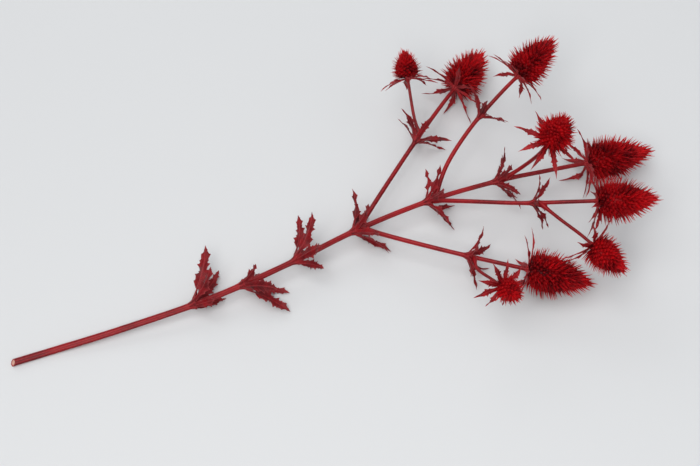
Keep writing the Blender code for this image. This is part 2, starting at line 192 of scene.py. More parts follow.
# What each dyed finish mixes: where the dye pooled, which on the cones is also painted shade at the spines'
# feet, low on each head and deep among its florets; where it took well; and where it faded, which on spine
# tips and on the edges, teeth and tips of blades is also a painted highlight.
CONE_DYE = {
    "Deep": (0.072, 0.0005, 0.0024, 1),
    "Rich": (0.540, 0.0030, 0.0065, 1),
    "Faded": (0.72, 0.040, 0.045, 1),
}
LEAF_DYE = {
    "Deep": (0.050, 0.0006, 0.0026, 1),
    "Rich": (0.235, 0.0038, 0.0072, 1),
    "Faded": (0.37, 0.042, 0.047, 1),
}
BRACT_DYE = {
    "Deep": (0.072, 0.0007, 0.0030, 1),
    "Rich": (0.340, 0.0050, 0.0090, 1),
    "Faded": (0.50, 0.060, 0.066, 1),
}
STEM_DYE = {
    "Deep": (0.075, 0.0008, 0.0034, 1),
    "Rich": (0.310, 0.0045, 0.0085, 1),
    "Faded": (0.43, 0.035, 0.040, 1),
}
NOISE_ROUGHNESS = 0.55
PITH = (0.62, 0.34, 0.26, 1)
CUT_RIM = (0.33, 0.035, 0.035, 1)


# Growth: the same rules that shape the plain solids.


def vary(*name):
    """A repeatable number from -1 to 1 for the thing that the words name."""
    return random.Random(" ".join(str(word) for word in name)).uniform(-1, 1)


def mix(first, last, share):
    return first + (last - first) * share


def smooth(share):
    """0 to 1 with soft ends."""
    share = min(max(share, 0), 1)
    return share * share * (3 - 2 * share)


class Path:
    """A smooth curve through points, read by the share of its length."""

    STEPS = 24

    def __init__(self, points):
        points = [Vector(p) for p in points]
        ends = [2 * points[0] - points[1], *points, 2 * points[-1] - points[-2]]
        self.points = [points[0]]
        for a, b, c, d in zip(ends, ends[1:], ends[2:], ends[3:]):
            for step in range(1, self.STEPS + 1):
                t = step / self.STEPS
                self.points.append(
                    (2 * b + (c - a) * t + (2 * a - 5 * b + 4 * c - d) * t**2
                     + (3 * b - a - 3 * c + d) * t**3) / 2
                )
        self.reached = [0.0]
        for p, q in zip(self.points, self.points[1:]):
            self.reached.append(self.reached[-1] + (q - p).length)
        self.length = self.reached[-1]

    def point(self, share):
        goal = min(max(share, 0), 1) * self.length
        i = next(k for k in range(1, len(self.reached)) if self.reached[k] >= goal - 1e-12)
        start, end = self.reached[i - 1], self.reached[i]
        return self.points[i - 1].lerp(self.points[i], (goal - start) / (end - start))

    def frame(self, share):
        """The matrix at a point of the path: its z axis runs along the path and its x axis points up."""
        step = 0.004 / self.length
        along = (self.point(share + step) - self.point(share - step)).normalized()
        up = (UP - along * UP.dot(along)).normalized()
        side = along.cross(up)
        placed = Matrix((up, side, along)).transposed().to_4x4()
        placed.translation = self.point(share)
        return placed


def shoot_radius(shoot, path, joints, share):
    """The radius of a shoot: an even taper, thicker at each joint."""
    swelling = sum(
        math.exp(-(((share - joint) * path.length / JOINT_HALF_LENGTH) ** 2)) for joint in joints
    )
    return mix(*shoot.radii, share) + JOINT_SWELLING * min(swelling, 1)


def blade_width(share):
    """Half width of a blade against its widest: quick to widen, then a long taper to the point."""
    return math.sin(math.pi * share**0.62) ** 0.8 if 0 < share < 1 else 0.0


class Lobe:
    """One narrow blade that grows out of a ring.

    Its rib follows a bow away from the shoot, keeps its length where the surface makes it level
    out, and the blade turns its face up part of the way, as on a stem that has lain for a while.
    """

    STEPS = 20

    def __init__(self, name, index, azimuth, seat, start, length, half_width, lift, levelled):
        self.key = (name, index)
        azimuth += math.radians(5) * vary(name, index, "turn")
        self.half_width = half_width * (1 + 0.10 * vary(name, index, "width"))
        length *= 1 + 0.14 * vary(name, index, "length")
        self.length = length
        lift = [math.radians(angle + 10 * vary(name, index, "lift", n)) for n, angle in enumerate(lift)]
        levelled += 0.15 * vary(name, index, "levelled")
        bow = 0.2 * vary(name, index, "bow")
        turned = seat.to_3x3()
        radial = turned @ Vector((math.cos(azimuth), math.sin(azimuth), 0))
        axial = turned @ UP
        tangent = axial.cross(radial)
        spot = seat.translation + radial * start
        self.rib = []
        upward = None
        for n in range(self.STEPS + 1):
            share = n / self.STEPS
            angle = mix(*lift, share)
            heading = radial * math.cos(angle) + axial * math.sin(angle) + tangent * bow * share
            heading.normalize()
            if upward is None:
                upward = math.copysign(1, heading.cross(tangent).z)
            clear = smooth((spot.z - RIB_LOWEST) / LEVELLING_HEIGHT)
            if heading.z < 0:
                level = heading + axial * math.copysign(0.2, sum(lift))
                level = Vector((level.x, level.y, 0)).normalized()
                fall = -heading.z * clear
                heading = level * math.sqrt(1 - fall**2) - UP * fall
            side = (tangent - heading * tangent.dot(heading)).normalized()
            face = heading.cross(side)
            to_level = math.asin(min(max(-side.z * upward, -1), 1))
            turn = to_level * smooth(share / 0.45) * mix(1, levelled, clear)
            across = side * math.cos(turn) + face * math.sin(turn)
            self.rib.append((spot.copy(), across, heading.cross(across)))
            spot = spot + heading * (length / self.STEPS)

    def frame(self, share):
        """The rib's point, the way across and the way out of the upper face at a share of the length."""
        place = min(max(share, 0), 1) * self.STEPS
        n = min(int(place), self.STEPS - 1)
        return tuple(a.lerp(b, place - n) for a, b in zip(self.rib[n], self.rib[n + 1]))


# Tissue: points and faces gathered for one piece, with marks that its finish reads.


class Tissue:
    """Points, faces and marks. A mark says how far along its part a point is, how far across it,
    how high up its head or whorl, and the tone of its part."""

    def __init__(self):
        self.points, self.marks, self.faces, self.count = [], [], [], 0

    def add(self, points, faces, marks):
        points, marks = np.asarray(points, float), np.asarray(marks, float)
        self.points.append(points)
        self.marks.append(marks)
        self.faces += [tuple(i + self.count for i in face) for face in faces]
        self.count += len(points)

    def make(self, name, finish, sharp_above=None):
        points, marks = np.concatenate(self.points), np.concatenate(self.marks)
        mesh = bpy.data.meshes.new(name)
        mesh.from_pydata(points.tolist(), [], self.faces)
        growth = mesh.attributes.new("growth", "FLOAT_COLOR", "POINT")
        growth.data.foreach_set("color", marks.astype(np.float32).ravel())
        corners = np.empty(len(mesh.loops), np.int32)
        mesh.loops.foreach_get("vertex_index", corners)
        layer = mesh.uv_layers.new(name="UVMap")
        layer.data.foreach_set("uv", marks[corners][:, [1, 0]].astype(np.float32).ravel())
        mesh.materials.append(finish)
        mesh.shade_smooth()
        if sharp_above is not None:
            mesh.set_sharp_from_angle(angle=math.radians(sharp_above))
        made = bpy.data.objects.new(name, mesh)
        bpy.context.scene.collection.objects.link(made)
        return made


def settle(points):
    """Points kept above the surface that the stem lies on, and inside the box of the plain solids."""
    low, high = (np.array(corner) for corner in PLAIN_BOX)
    low[2] = TISSUE_LOWEST
    return np.clip(points, low, high)


def spike_faces(rings, sides):
    """Faces of a pointed spike, ring by ring, with its tip as the last point."""
    faces = []
    for j in range(rings - 1):
        for k in range(sides):
            m = (k + 1) % sides
            faces.append((j * sides + k, j * sides + m, (j + 1) * sides + m, (j + 1) * sides + k))
    last = (rings - 1) * sides
    faces += [(last + k, last + (k + 1) % sides, rings * sides) for k in range(sides)]
    faces.append(tuple(range(sides))[::-1])
    return faces


def add_spikes(
    tissue, profile, sides, roots, headings, curls, widths, depths, lengths, heights, tones, ends=(0, 1)
):
    """Many pointed spikes at once. Each runs from its root along its heading and bends by its curl.

    The profile gives the girth at shares of the length, and ends at the tip.
    """
    shares = np.array([share for share, _ in profile])
    girths = np.array([girth for _, girth in profile[:-1]])
    across = unit(np.cross(curls + 1e-6, headings))
    outward = np.cross(headings, across)
    angles = 2 * np.pi * (np.arange(sides) + 0.5) / sides
    line = roots[:, None, :] + lengths[:, None, None] * (
        shares[None, :, None] * headings[:, None, :] + (shares**2)[None, :, None] * curls[:, None, :]
    )
    rim = (
        np.cos(angles)[None, :, None] * (across * widths[:, None])[:, None, :]
        + np.sin(angles)[None, :, None] * (outward * depths[:, None])[:, None, :]
    )
    rings = line[:, :-1, None, :] + girths[None, :, None, None] * rim[:, None, :, :]
    each = len(girths) * sides + 1
    points = np.concatenate([rings.reshape(len(roots), each - 1, 3), line[:, -1:, :]], axis=1)
    marks = np.empty((len(roots), each, 4))
    marks[:, :, 0] = ends[0] + (ends[1] - ends[0]) * np.append(np.repeat(shares[:-1], sides), 1)
    marks[:, :, 1] = np.append(np.tile(0.5 + 0.5 * np.cos(angles), len(girths)), 0.5)
    marks[:, :, 2] = heights[:, None]
    marks[:, :, 3] = tones[:, None]
    pattern = spike_faces(len(girths), sides)
    faces = [tuple(i + n * each for i in face) for n in range(len(roots)) for face in pattern]
    tissue.add(points.reshape(-1, 3), faces, marks.reshape(-1, 4))


# Cones.


def core_radius(cone, share):
    """Radius of a cone's core at a share of its height: widest low down, with a long taper above."""
    lifted = LOWEST_CORE_SHARE + (1 - LOWEST_CORE_SHARE) * share
    return cone.radius * max(math.sin(math.pi * lifted**0.56), 0) ** 0.65


def sites_on_core(cone, spacing):
    """Shares of the core's height for florets set evenly over it, lowest first."""
    steps = 400
    shares = (np.arange(steps) + 0.5) / steps
    radii = np.array([core_radius(cone, s) for s in shares])
    slopes = np.hypot(np.gradient(radii), cone.length / steps)
    area = np.cumsum(2 * np.pi * radii * slopes)
    count = int(area[-1] / spacing**2)
    return np.interp((np.arange(count) + 0.5) / count * area[-1], area, shares)


def unit(rows):
    return rows / (np.linalg.norm(rows, axis=1)[:, None] + 1e-12)


def core_of(cone, stalk_radius, tissue):
    """The core that the florets grow from, closed, with a foot that widens out of the stalk."""
    rings, sides = 26, 36
    rows = [(stalk_radius * 1.15, -0.0016), (stalk_radius * 1.6, -0.0009)]
    for j in range(rings):
        share = j / (rings - 0.4)
        rows.append((core_radius(cone, share) * 0.96, share * cone.length))
    points = [(0, 0, rows[0][1])]
    for j, (radius, height) in enumerate(rows):
        for k in range(sides):
            azimuth = 2 * math.pi * (k + 0.5 * (j % 2)) / sides
            points.append((radius * math.cos(azimuth), radius * math.sin(azimuth), height))
    points.append((0, 0, cone.length))
    faces = [(0, 1 + (k + 1) % sides, 1 + k) for k in range(sides)]
    for j in range(len(rows) - 1):
        for k in range(sides):
            m = (k + 1) % sides
            low, high = 1 + j * sides, 1 + (j + 1) * sides
            faces.append((low + k, low + m, high + m, high + k))
    last = 1 + (len(rows) - 1) * sides
    faces += [(last + k, last + (k + 1) % sides, len(points) - 1) for k in range(sides)]
    marks = np.full((len(points), 4), 0.5)
    marks[:, 2] = np.array(points)[:, 2].clip(0) / cone.length
    # Painted shade: the core's along mark stays at 0.22 or less, so the spine finish paints it darker where
    # it shows between the florets.
    marks[:, 0] = 0.22 * (marks[:, 2] / 0.1).clip(0, 1)
    tissue.add(points, faces, marks)


def grow_cone(cone, seat, stalk_radius):
    """A cone head: a core crowded with florets, and a long stiff spine below each floret."""
    draw = np.random.default_rng(int(cone.name.rsplit("_", 1)[1]))
    scale = (cone.radius / LARGE_HEAD_RADIUS) ** 0.5
    shares = sites_on_core(cone, FLORET_SPACING * scale)
    count = len(shares)
    shares = np.clip(shares + draw.normal(0, 0.004, count), 0.01, 0.995)
    azimuths = np.arange(count) * GOLDEN_ANGLE + draw.normal(0, 0.03, count)
    radii = np.array([core_radius(cone, s) for s in shares])
    sunk = radii * 0.93
    roots = np.stack([sunk * np.cos(azimuths), sunk * np.sin(azimuths), shares * cone.length], 1)
    lift = np.radians(
        SPINE_LIFT[0] + (SPINE_LIFT[1] - SPINE_LIFT[0]) * shares**SPINE_RISE + draw.normal(0, 5, count)
    )
    lean = azimuths + draw.normal(0, 0.09, count)
    headings = np.stack([np.cos(lift) * np.cos(lean), np.cos(lift) * np.sin(lean), np.sin(lift)], 1)
    unlike = 1 + draw.normal(0, 0.10, count).clip(-0.3, 0.1)
    lengths = cone.spine * (1.03 - SPINE_SHORTER_AT_TOP * shares) * unlike
    axis = np.array([0.0, 0.0, 1.0])
    above = unit(axis - headings * headings[:, 2:3] + 0.001)
    curls = above * draw.normal(0.04, 0.05, count)[:, None]
    curls += np.cross(headings, axis) * draw.normal(0, 0.05, count)[:, None]
    tones = np.clip(0.5 + draw.normal(0, 0.22, count), 0, 1)
    tissue = Tissue()
    core_of(cone, stalk_radius, tissue)
    widths = SPINE_HALF_WIDTH * scale * (1 + draw.normal(0, 0.12, count))
    add_spikes(
        tissue, SPINE_PROFILE, 6, roots, headings, curls, widths, widths * 0.6, lengths, shares, tones
    )
    # A floret stands in the angle above its spine: a plump cup that ends in five sharp sepals.
    room = FLORET_SPACING * scale
    feet = roots + above * room * 0.38
    cup_lengths = room * (1.12 + 0.16 * draw.random(count))
    cup_widths = room * (0.56 + 0.05 * draw.random(count))
    cup_curls = above * 0.02
    # Painted shade: the cups' along marks run only from 0 to 0.35, so the spine finish paints them darker
    # deep among the spines.
    add_spikes(
        tissue, CUP_PROFILE, 7, feet, headings, cup_curls, cup_widths, cup_widths * 0.9, cup_lengths,
        shares, tones, (0.0, 0.35),
    )
    first = unit(np.cross(headings, axis + 0.01))
    second = np.cross(headings, first)
    for k in range(SEPALS):
        angle = 2 * np.pi * k / SEPALS + azimuths * 3 + draw.normal(0, 0.15, count)
        outward = first * np.cos(angle)[:, None] + second * np.sin(angle)[:, None]
        ways = unit(headings + outward * np.tan(np.radians(30 + draw.normal(0, 7, count)))[:, None])
        starts = feet + headings * (cup_lengths * 0.62)[:, None] + outward * room * 0.24
        sizes = cone.spine * (0.27 + 0.07 * draw.random(count))
        bends = (headings - ways * np.sum(headings * ways, axis=1)[:, None]) * 0.4
        # Painted shade: the sepals' along marks run from 0.2 to 0.9, so the spine finish paints them darker
        # at their feet.
        add_spikes(
            tissue, SEPAL_PROFILE, 4, starts, ways, bends, widths * 0.55, widths * 0.3, sizes, shares,
            np.clip(tones + 0.1, 0, 1), (0.2, 0.9),
        )
    place = np.array(seat)
    for n, group in enumerate(tissue.points):
        tissue.points[n] = settle(group @ place[:3, :3].T + place[:3, 3])
    return tissue.make(f"{cone.name}_spines", FINISHES["cone"], 50)


# Blades.


def edge_outline(lobe, base_half, teeth, side):
    """Shares of the length and half widths along one edge, from the foot to the point, with its teeth."""
    first, last = TOOTH_PLACES[teeth]
    places = [mix(first, last, k / max(teeth - 1, 1)) for k in range(teeth)]
    gap = (last - first) / (teeth - 1) if teeth > 1 else 0.24
    minor = [places[0] - 0.55 * gap] + [place + 0.52 * gap for place in places]
    key = (*lobe.key, side)
    edge = [(0.0, base_half), (0.05, mix(base_half, lobe.half_width * 0.8, 0.35))]
    spots = [(place, TOOTH_REACH, 1.0) for place in places]
    spots += [(place, MINOR_TOOTH_REACH, 0.5) for place in minor if place < 0.93]
    for place, reach, size in sorted(spots):
        place += 0.012 * vary(*key, place)
        reach = 1 + (reach - 1) * (1 + 0.15 * vary(*key, place, "reach"))
        tip = min(place + 0.05 * size, 0.965)
        body = lobe.half_width * blade_width(place) * 0.96
        edge.append((place - 0.055 * size, body * 0.93))
        edge.append((place, body * mix(1, reach, 0.35)))
        edge.append((tip, lobe.half_width * blade_width(place) * reach))
        edge.append((tip + 0.012 * size, body * 0.94))
        edge.append((tip + 0.035 * size, lobe.half_width * blade_width(tip) * 0.88))
    ordered = [edge[0]]
    for share, half in edge[1:]:
        if share > ordered[-1][0] + 0.004 and share < 0.985:
            ordered.append((share, half))
    ordered.append((1.0, 0.0))
    return ordered


def grow_blade(tissue, lobe, base_half, teeth, thickness, wave):
    """A thin toothed blade with a folded, veined upper face and a raised rib below."""
    edges = {side: edge_outline(lobe, base_half, teeth, side) for side in (-1, 1)}
    shares = sorted({round(s, 4) for edge in edges.values() for s, _ in edge if s < 1} | {
        round(0.035 * n, 4) for n in range(1, 28)
    })
    kept = [shares[0]]
    for share in shares[1:]:
        if share - kept[-1] > 0.006:
            kept.append(share)
    fractions = (-1, -0.74, -0.42, -0.13, 0, 0.13, 0.42, 0.74, 1)
    phase = 3.0 * vary(*lobe.key, "phase")
    tone = 0.5 + 0.45 * vary(*lobe.key, "tone")
    upper, lower, marks = [], [], []
    for share in kept:
        spot, across, face = lobe.frame(share)
        halves = {
            side: float(np.interp(share, [s for s, _ in edge], [h for _, h in edge]))
            for side, edge in edges.items()
        }
        calm = max(lobe.half_width * blade_width(max(share, 0.12)) * 0.9, 0.0001)
        for fraction in fractions:
            half = halves[1 if fraction > 0 else -1]
            reach = half if abs(fraction) == 1 else min(half, mix(calm, half, abs(fraction) ** 4))
            offset = fraction * reach
            ripple = wave * lobe.half_width * abs(fraction) ** 2 * math.sin(
                14 * share + phase + (1.9 if fraction > 0 else 0)
            ) * smooth(share / 0.2) * smooth((1 - share) / 0.2)
            rise = RIB_FOLD * abs(offset) - 0.10 * offset**2 / lobe.half_width + ripple
            middle = spot + across * offset + face * rise
            body = thickness * mix(0.35, 1.0, (1 - share) ** 0.5) * (1 - 0.72 * fraction**2)
            rib = 0.9 * thickness * math.exp(-((fraction / 0.10) ** 2)) * (1 - share)
            upper.append(middle + face * body * 0.5 - face * rib * 0.25)
            lower.append(middle - face * (body * 0.5 + rib))
            marks.append((share, 0.5 + 0.5 * offset / (lobe.half_width * TOOTH_REACH), abs(fraction), tone))
    wide, rows = len(fractions), len(kept)
    tip = lobe.frame(1)[0]
    points = np.array([*upper, *lower, tip])
    count = rows * wide
    faces = []
    for j in range(rows - 1):
        for k in range(wide - 1):
            a, b, c, d = j * wide + k, j * wide + k + 1, (j + 1) * wide + k + 1, (j + 1) * wide + k
            faces.append((a, b, c, d))
            faces.append((count + a, count + d, count + c, count + b))
        for k in (0, wide - 1):
            a, d = j * wide + k, (j + 1) * wide + k
            faces.append((a, d, count + d, count + a) if k == 0 else (a, count + a, count + d, d))
    last = (rows - 1) * wide
    for k in range(wide - 1):
        faces.append((last + k, last + k + 1, 2 * count))
        faces.append((count + last + k + 1, count + last + k, 2 * count))
    faces.append((last, 2 * count, count + last))
    faces.append((last + wide - 1, count + last + wide - 1, 2 * count))
    for k in range(wide - 1):
        faces.append((k, count + k, count + k + 1, k + 1))
    tissue.add(settle(points), faces, np.array([*marks, *marks, (1, 0.5, 0, tone)]))


def grow_sheath(tissue, seat, skin_radius, rim, length, slots, present):
    """The fleshy sheath that clasps the shoot below its blades.

    It runs furthest down the shoot under each blade, opens into the blades at its rim, and hugs
    the shoot where no blade grows.
    """
    around, sides = len(SHEATH_PROFILE), slots * 10
    points, marks = [], []
    for k in range(sides):
        slot = slots * k / sides
        under_blade = 0.5 + 0.5 * math.cos(2 * math.pi * slot)
        nearest = min(abs((slot - blade + slots / 2) % slots - slots / 2) for blade in present)
        open_here = smooth(1.6 - nearest)
        azimuth = 2 * math.pi * k / sides
        for height, way_out in SHEATH_PROFILE:
            if height < 0:
                height *= mix(0.55, 1.0, under_blade) * mix(0.6, 1.0, open_here)
            skin = skin_radius(height * length)
            opened = mix(skin + 0.0004, rim * mix(0.93, 1.0, under_blade), open_here)
            radius = mix(skin, opened, way_out)
            spot = Vector((radius * math.cos(azimuth), radius * math.sin(azimuth), height * length))
            points.append(seat @ spot)
            marks.append((0.15 + 0.15 * height, 0.5 + 0.05 * under_blade, 0.3 + 0.3 * way_out, 0.45))
    faces = []
    for k in range(sides):
        m = (k + 1) % sides
        for j in range(around):
            n = (j + 1) % around
            faces.append((k * around + j, m * around + j, m * around + n, k * around + n))
    tissue.add(settle(np.array(points)), faces, marks)


def grow_star(name, seat, skin_radius, sides, present, make_lobe, teeth, thickness, wave, finish):
    """A sheath round a shoot with blades growing out of it."""
    tissue = Tissue()
    inner = (skin_radius(0) * (1 + RIB_RELIEF) + SHEATH_CLEARANCE) / math.cos(math.pi / sides)
    rim = inner + SHEATH_RIM_WIDTH
    start = rim * math.cos(math.pi / sides)
    grow_sheath(tissue, seat, skin_radius, rim, SHEATH_LENGTH * (rim / SHEATH_RIM), sides, present)
    for k in present:
        lobe = make_lobe(k, 2 * math.pi * k / sides, start)
        grow_blade(tissue, lobe, rim * math.sin(math.pi / sides) * 0.9, teeth, thickness, wave)
    return tissue.make(name, FINISHES[finish], 60)


# Shoots.


def grow_shoot(shoot, path, joints, parent_radius):
    """A ribbed shoot with fine striations, swollen joints, and a flare where it leaves its parent."""
    is_stem = shoot.parent is None
    ribs = STEM_RIBS if is_stem else BRANCH_RIBS
    sides = ribs * (6 if is_stem else 8)
    rings = round(path.length / RING_SPACING)
    tissue = Tissue()
    points, marks = [], []
    for n in range(rings + 1):
        share = n / rings
        frame_here = TO_MIDDLE @ path.frame(share)
        distance = share * path.length
        past_skin = (distance - parent_radius) / FOOT_FLARE_LENGTH
        flare = 0.0 if is_stem else FOOT_FLARE * math.exp(-(past_skin**2))
        radius = shoot_radius(shoot, path, joints, share) + flare
        radius *= 1 + 0.012 * math.sin(distance * 410 + 2) * math.sin(distance * 173)
        for k in range(sides):
            azimuth = 2 * math.pi * k / sides
            ridge = math.cos(ribs * azimuth - math.pi / 2)
            reach = radius * (1 + RIB_RELIEF * ridge)
            x, y = reach * math.cos(azimuth), reach * math.sin(azimuth)
            spot = frame_here @ Vector((x, y, CUT_SLANT * x if is_stem and n == 0 else 0))
            points.append((spot.x, spot.y, max(spot.z, STEM_LOWEST)))
            marks.append((share, abs(2 * k / sides - 1), 0.5 + 0.5 * ridge, 0.5))
    faces = []
    for n in range(rings):
        for k in range(sides):
            m = (k + 1) % sides
            faces.append((n * sides + k, n * sides + m, (n + 1) * sides + m, (n + 1) * sides + k))
    faces.append(tuple(range(rings * sides, (rings + 1) * sides)))
    if not is_stem:
        faces.append(tuple(range(sides))[::-1])
    tissue.add(points, faces, marks)
    if is_stem:
        add_cut_face(tissue, np.array(points[:sides]))
    return tissue.make(f"{shoot.name}_ribbed", FINISHES["stem"], 50)


def add_cut_face(tissue, rim):
    """The slanted cut: rings of paler tissue round a pith that has shrunk in a little."""
    sides = len(rim)
    middle = rim.mean(axis=0)
    inward = np.array([1.0, 0.0, 0.0])
    rings = [(1.0, 0.0), (0.9, 0.00002), (0.72, 0.00006), (0.5, 0.00026), (0.22, 0.00042)]
    points = np.concatenate([middle + (rim - middle) * size + inward * depth for size, depth in rings])
    points = np.vstack([points, middle + inward * 0.00045])
    marks = np.zeros((len(points), 4))
    marks[:, 1] = np.append(np.repeat([size for size, _ in rings], sides), 0)
    marks[:, 2] = 0.5
    marks[:, 3] = 1.0
    faces = []
    for j in range(len(rings) - 1):
        for k in range(sides):
            m = (k + 1) % sides
            faces.append((j * sides + k, (j + 1) * sides + k, (j + 1) * sides + m, j * sides + m))
    last = (len(rings) - 1) * sides
    faces += [(last + k, len(points) - 1, last + (k + 1) % sides) for k in range(sides)]
    tissue.add(points, faces, marks)


# Finishes.


def feed(tree, socket, value):
    """Link an input to another socket, or set it to a plain value."""
    if isinstance(value, bpy.types.NodeSocket):
        tree.links.new(value, socket)
    else:
        socket.default_value = value


def add_node(tree, kind, inputs=None, **settings):
    """A shader node with its settings and inputs."""
    made = tree.nodes.new(kind)
    for name, value in settings.items():
        setattr(made, name, value)
    for name, value in (inputs or {}).items():
        feed(tree, made.inputs[name], value)
    return made


def math_node(tree, operation, first, second=0.0, clamp=False):
    return add_node(
        tree, "ShaderNodeMath", {0: first, 1: second}, operation=operation, use_clamp=clamp
    ).outputs[0]


def times(tree, first, second):
    return math_node(tree, "MULTIPLY", first, second)


def plus(tree, first, second, clamp=False):
    return math_node(tree, "ADD", first, second, clamp)


def colour_mix(tree, share, first, second):
    made = add_node(tree, "ShaderNodeMix", data_type="RGBA")
    for index, value in ((0, share), (6, first), (7, second)):
        feed(tree, made.inputs[index], value)
    return made.outputs[2]


def ramp(tree, value, low, high, to_low=0.0, to_high=1.0):
    """The value taken from one range to another, smoothly and clamped."""
    return add_node(
        tree, "ShaderNodeMapRange",
        {"Value": value, "From Min": low, "From Max": high, "To Min": to_low, "To Max": to_high},
        interpolation_type="SMOOTHSTEP",
    ).outputs[0]


def noise_at(tree, place, scale, detail):
    inputs = {"Vector": place, "Scale": scale, "Detail": detail, "Roughness": NOISE_ROUGHNESS}
    return add_node(tree, "ShaderNodeTexNoise", inputs).outputs[0]


def new_group(name, inputs, outputs):
    group = bpy.data.node_groups.new(name, "ShaderNodeTree")
    for label, kind, value in inputs:
        socket = group.interface.new_socket(label, in_out="INPUT", socket_type=kind)
        if value is not None:
            socket.default_value = value
    for label, kind in outputs:
        group.interface.new_socket(label, in_out="OUTPUT", socket_type=kind)
    return group, group.nodes.new("NodeGroupInput").outputs, group.nodes.new("NodeGroupOutput").inputs


def use_group(tree, group, inputs):
    made = tree.nodes.new("ShaderNodeGroup")
    made.node_tree = group
    for name, value in inputs.items():
        feed(tree, made.inputs[name], value)
    return made.outputs


def uneven_dye_group():
    """Dye that has soaked in unevenly: deep where it pooled, rich elsewhere, faded where it did not take.
    From the cone finish the richness it is given also carries painted shade and painted light, and from the
    cone and blade finishes the share of pale colour it is given also carries a painted highlight.
    """
    group, given, out = new_group(
        "uneven_dye",
        [
            ("Place", "NodeSocketVector", None),
            ("Deep", "NodeSocketColor", (0.05, 0.0, 0.002, 1)),
            ("Rich", "NodeSocketColor", (0.35, 0.006, 0.01, 1)),
            ("Faded", "NodeSocketColor", (0.45, 0.06, 0.07, 1)),
            ("Richness", "NodeSocketFloat", 0.5),
            ("Fading", "NodeSocketFloat", 0.2),
            ("Patches", "NodeSocketFloat", 90.0),
            ("Specks", "NodeSocketFloat", 900.0),
        ],
        [("Colour", "NodeSocketColor")],
    )
    patches = noise_at(group, given["Place"], given["Patches"], 3.0)
    specks = noise_at(group, given["Place"], given["Specks"], 2.0)
    patchiness = times(group, ramp(group, patches, 0.3, 0.7, -0.5, 0.5), 0.7)
    # Painted shade and painted light, given with the richness by the cone finish, pass through here along
    # with the dye's patches.
    patchy_dye_and_shade = plus(group, given["Richness"], patchiness, clamp=True)
    dyed = colour_mix(group, patchy_dye_and_shade, given["Deep"], given["Rich"])
    # A painted highlight, given with the pale share by the cone and blade finishes, is mixed in here with
    # specks of faded dye.
    missed_and_highlight = times(group, given["Fading"], ramp(group, specks, 0.42, 0.68))
    missed_and_highlight = plus(group, missed_and_highlight, times(group, given["Fading"], 0.35), clamp=True)
    group.links.new(colour_mix(group, missed_and_highlight, dyed, given["Faded"]), out["Colour"])
    return group


def vein_group():
    """Veins of a narrow blade: a rib along its middle and side veins that run forward to the edges."""
    group, given, out = new_group(
        "blade_veins",
        [
            ("Along", "NodeSocketFloat", 0.0),
            ("Across", "NodeSocketFloat", 0.5),
            ("Pairs", "NodeSocketFloat", 9.0),
        ],
        [("Mask", "NodeSocketFloat"), ("Height", "NodeSocketFloat")],
    )
    from_rib = math_node(group, "ABSOLUTE", math_node(group, "SUBTRACT", given["Across"], 0.5))
    rib = ramp(group, from_rib, 0.05, 0.0)
    pairs = times(group, given["Along"], given["Pairs"])
    run = math_node(group, "SUBTRACT", pairs, times(group, from_rib, 5.0))
    wave = math_node(group, "ABSOLUTE", math_node(group, "SUBTRACT", math_node(group, "FRACT", run), 0.5))
    side = times(group, ramp(group, wave, 0.40, 0.5), 0.55)
    mask = math_node(group, "MAXIMUM", rib, side)
    group.links.new(mask, out["Mask"])
    group.links.new(math_node(group, "SUBTRACT", 1.0, mask), out["Height"])
    return group


def fibre_group():
    """Fine relief of plant tissue: streaks along the part and a grain of small cells."""
    group, given, out = new_group(
        "plant_fibres",
        [
            ("Place", "NodeSocketVector", None),
            ("Along", "NodeSocketFloat", 0.0),
            ("Across", "NodeSocketFloat", 0.0),
            ("Streaks", "NodeSocketFloat", 60.0),
            ("Cells", "NodeSocketFloat", 2600.0),
        ],
        [("Height", "NodeSocketFloat"), ("Streak", "NodeSocketFloat")],
    )
    lengthwise = add_node(group, "ShaderNodeCombineXYZ", {
        "X": times(group, given["Across"], given["Streaks"]),
        "Y": times(group, given["Along"], 3.0),
    }).outputs[0]
    streak = noise_at(group, lengthwise, 1.0, 3.0)
    cells = noise_at(group, given["Place"], given["Cells"], 2.0)
    height = plus(group, times(group, streak, 0.7), times(group, cells, 0.3))
    group.links.new(height, out["Height"])
    group.links.new(streak, out["Streak"])
    return group


def start_finish(name, roughness, gloss=0.18):
    """An empty finish: its tree, its shader, the marks of the tissue and the place on the stem."""
    finish = bpy.data.materials.new(name)
    finish.use_nodes = True
    tree = finish.node_tree
    shader = tree.nodes["Principled BSDF"]
    shader.inputs["Roughness"].default_value = roughness
    shader.inputs["Specular IOR Level"].default_value = gloss
    growth = add_node(tree, "ShaderNodeAttribute", attribute_name="growth", attribute_type="GEOMETRY")
    parts = add_node(tree, "ShaderNodeSeparateColor", {"Color": growth.outputs["Color"]})
    place = add_node(tree, "ShaderNodeTexCoord").outputs["Object"]
    marks = {
        "along": parts.outputs[0],
        "across": parts.outputs[1],
        "height": parts.outputs[2],
        "tone": growth.outputs["Alpha"],
    }
    return finish, tree, shader, marks, place


def relief(tree, shader, height, distance, strength):
    bump = add_node(tree, "ShaderNodeBump", {"Height": height, "Distance": distance, "Strength": strength})
    tree.links.new(bump.outputs[0], shader.inputs["Normal"])


